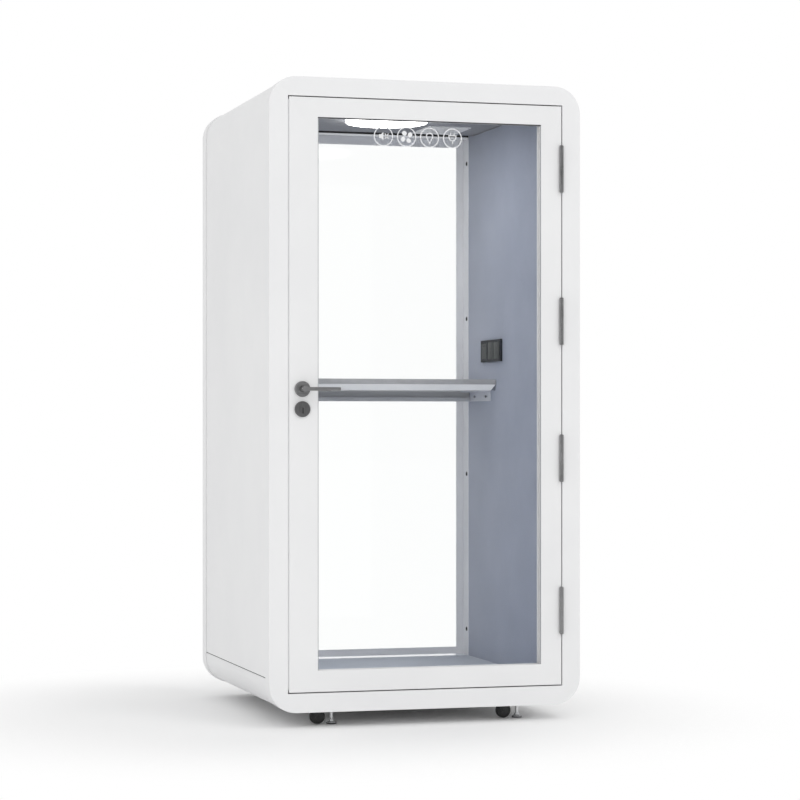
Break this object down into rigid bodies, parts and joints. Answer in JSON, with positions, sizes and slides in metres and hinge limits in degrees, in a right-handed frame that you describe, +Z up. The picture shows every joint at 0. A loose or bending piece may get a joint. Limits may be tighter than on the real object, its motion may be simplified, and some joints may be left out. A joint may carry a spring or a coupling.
{
  "type": "acoustic office pod",
  "caption": "Compact acoustic office pod: rounded white shell, glazed swing door, felt-lined cabin with a fixed desk, ceiling light and extract fan, on castors with levelling feet.",
  "frame": {"origin": "on the floor, under the middle of the bounding box", "axes": "+X to the right as seen facing the door, +Y from the door to the rear window, +Z up"},
  "size_m": [1.06, 1.107, 2.1],
  "materials": {
    "white_coat": "satin powder coat, white",
    "deck_board": "plain board, hidden",
    "insulation": "matt acoustic fleece, hidden",
    "felt": "pressed felt board, grey-blue",
    "carpet": "short loop carpet, grey",
    "pale_aluminium": "fine satin, pale grey",
    "glass": "clear, polished",
    "door_coat": "satin powder coat, white",
    "seal_rubber": "matt, black",
    "dark_metal": "fine brushed, dark grey",
    "bright_steel": "bright zinc",
    "desk_board": "smooth laminate, pale grey",
    "plate_plastic": "semi-gloss, dark grey",
    "lamp_plastic": "opal diffuser",
    "vent_coat": "satin, pale grey",
    "black_plastic": "matt, black",
    "wheel_rubber": "matt, black"
  },
  "bodies": {
    "shell": {"front_frame": "white_coat", "rear_frame": "white_coat", "left_side_panel": "white_coat", "right_side_panel": "white_coat", "roof_panel": "white_coat", "base_shell": "white_coat", "base_core": "deck_board", "left_wall_core": "insulation", "right_wall_core": "insulation", "roof_core": "insulation", "left_felt_panel": "felt", "right_felt_panel": "felt", "ceiling_panel": "felt", "floor_carpet": "carpet", "front_liner": "pale_aluminium", "rear_liner": "pale_aluminium", "rear_glazing_bead": "pale_aluminium", "desk_rear_rail": "pale_aluminium", "desk_bracket_left": "pale_aluminium", "desk_bracket_right": "pale_aluminium", "rear_glass": "glass", "door_seal": "seal_rubber", "hinge_frame_leaf_1": "dark_metal", "hinge_frame_leaf_2": "dark_metal", "hinge_frame_leaf_3": "dark_metal", "hinge_frame_leaf_4": "dark_metal", "strike_plate": "bright_steel", "desk_top": "desk_board", "power_plate": "plate_plastic", "light_diffuser": "lamp_plastic", "vent_grille": "vent_coat", "fan_housing": "black_plastic"},
    "door": {"door_frame": "door_coat", "door_glass": "glass", "hinge_door_leaf_1": "dark_metal", "hinge_door_leaf_2": "dark_metal", "hinge_door_leaf_3": "dark_metal", "hinge_door_leaf_4": "dark_metal", "lock_case": "bright_steel", "outer_rose": "dark_metal", "inner_rose": "dark_metal", "lock_escutcheon": "dark_metal"},
    "lever_pair": {"outer_lever": "dark_metal", "inner_lever": "dark_metal"},
    "latch": {"latch_bolt": "bright_steel"},
    "thumb": {"thumb_turn": "dark_metal"},
    "rocker": {"switch_rocker": "plate_plastic"},
    "rotor": {"fan_rotor": "black_plastic"},
    "swivel_front_left": {"castor_yoke_front_left": "black_plastic"},
    "wheel_front_left": {"castor_wheel_front_left": "wheel_rubber"},
    "foot_front_left": {"levelling_foot_front_left": "bright_steel"},
    "swivel_front_right": {"castor_yoke_front_right": "black_plastic"},
    "wheel_front_right": {"castor_wheel_front_right": "wheel_rubber"},
    "foot_front_right": {"levelling_foot_front_right": "bright_steel"},
    "swivel_rear_left": {"castor_yoke_rear_left": "black_plastic"},
    "wheel_rear_left": {"castor_wheel_rear_left": "wheel_rubber"},
    "foot_rear_left": {"levelling_foot_rear_left": "bright_steel"},
    "swivel_rear_right": {"castor_yoke_rear_right": "black_plastic"},
    "wheel_rear_right": {"castor_wheel_rear_right": "wheel_rubber"},
    "foot_rear_right": {"levelling_foot_rear_right": "bright_steel"}
  },
  "joints": [
    {"name": "door_swing", "type": "hinge", "parent": "shell", "child": "door", "pos_m": [0.4625, -0.514, 1.075], "axis": [0, 0, 1], "range_deg": [0, 120]},
    {"name": "lever_turn", "type": "hinge", "parent": "door", "child": "lever_pair", "pos_m": [-0.421, -0.484, 1.093], "axis": [0, 1, 0], "range_deg": [0, 45], "stiffness_Nm_per_rad": 1.5, "springref_deg": -28.65},
    {"name": "latch_slide", "type": "slide", "parent": "door", "child": "latch", "axis": [1, 0, 0], "range_m": [0, 0.0112]},
    {"name": "thumb_turn_lock", "type": "hinge", "parent": "door", "child": "thumb", "pos_m": [-0.421, -0.4615, 1.028], "axis": [0, 1, 0], "range_deg": [0, 90]},
    {"name": "switch_rock", "type": "hinge", "parent": "shell", "child": "rocker", "pos_m": [0.4439, 0.2539, 1.243], "axis": [0, 1, 0], "range_deg": [-4, 4]},
    {"name": "fan_spin", "type": "hinge", "parent": "shell", "child": "rotor", "pos_m": [0.285, 0.2639, 2.07], "axis": [0, 0, 1], "continuous": true},
    {"name": "castor_swivel_front_left", "type": "hinge", "parent": "shell", "child": "swivel_front_left", "pos_m": [-0.365, -0.4085, 0.06], "axis": [0, 0, 1], "continuous": true},
    {"name": "castor_roll_front_left", "type": "hinge", "parent": "swivel_front_left", "child": "wheel_front_left", "pos_m": [-0.347, -0.4085, 0.026], "axis": [0, 1, 0], "continuous": true},
    {"name": "foot_screw_front_left", "type": "slide", "parent": "shell", "child": "foot_front_left", "axis": [0, 0, 1], "range_m": [-0.02, 0.01]},
    {"name": "castor_swivel_front_right", "type": "hinge", "parent": "shell", "child": "swivel_front_right", "pos_m": [0.275, -0.4085, 0.06], "axis": [0, 0, 1], "continuous": true},
    {"name": "castor_roll_front_right", "type": "hinge", "parent": "swivel_front_right", "child": "wheel_front_right", "pos_m": [0.293, -0.4085, 0.026], "axis": [0, 1, 0], "continuous": true},
    {"name": "foot_screw_front_right", "type": "slide", "parent": "shell", "child": "foot_front_right", "axis": [0, 0, 1], "range_m": [-0.02, 0.01]},
    {"name": "castor_swivel_rear_left", "type": "hinge", "parent": "shell", "child": "swivel_rear_left", "pos_m": [-0.365, 0.4555, 0.06], "axis": [0, 0, 1], "continuous": true},
    {"name": "castor_roll_rear_left", "type": "hinge", "parent": "swivel_rear_left", "child": "wheel_rear_left", "pos_m": [-0.347, 0.4555, 0.026], "axis": [0, 1, 0], "continuous": true},
    {"name": "foot_screw_rear_left", "type": "slide", "parent": "shell", "child": "foot_rear_left", "axis": [0, 0, 1], "range_m": [-0.02, 0.01]},
    {"name": "castor_swivel_rear_right", "type": "hinge", "parent": "shell", "child": "swivel_rear_right", "pos_m": [0.275, 0.4555, 0.06], "axis": [0, 0, 1], "continuous": true},
    {"name": "castor_roll_rear_right", "type": "hinge", "parent": "swivel_rear_right", "child": "wheel_rear_right", "pos_m": [0.293, 0.4555, 0.026], "axis": [0, 1, 0], "continuous": true},
    {"name": "foot_screw_rear_right", "type": "slide", "parent": "shell", "child": "foot_rear_right", "axis": [0, 0, 1], "range_m": [-0.02, 0.01]}
  ],
  "couplings": [
    {"joint": "latch_slide", "follows": "lever_turn", "m_per_rad": 0.014}
  ]
}
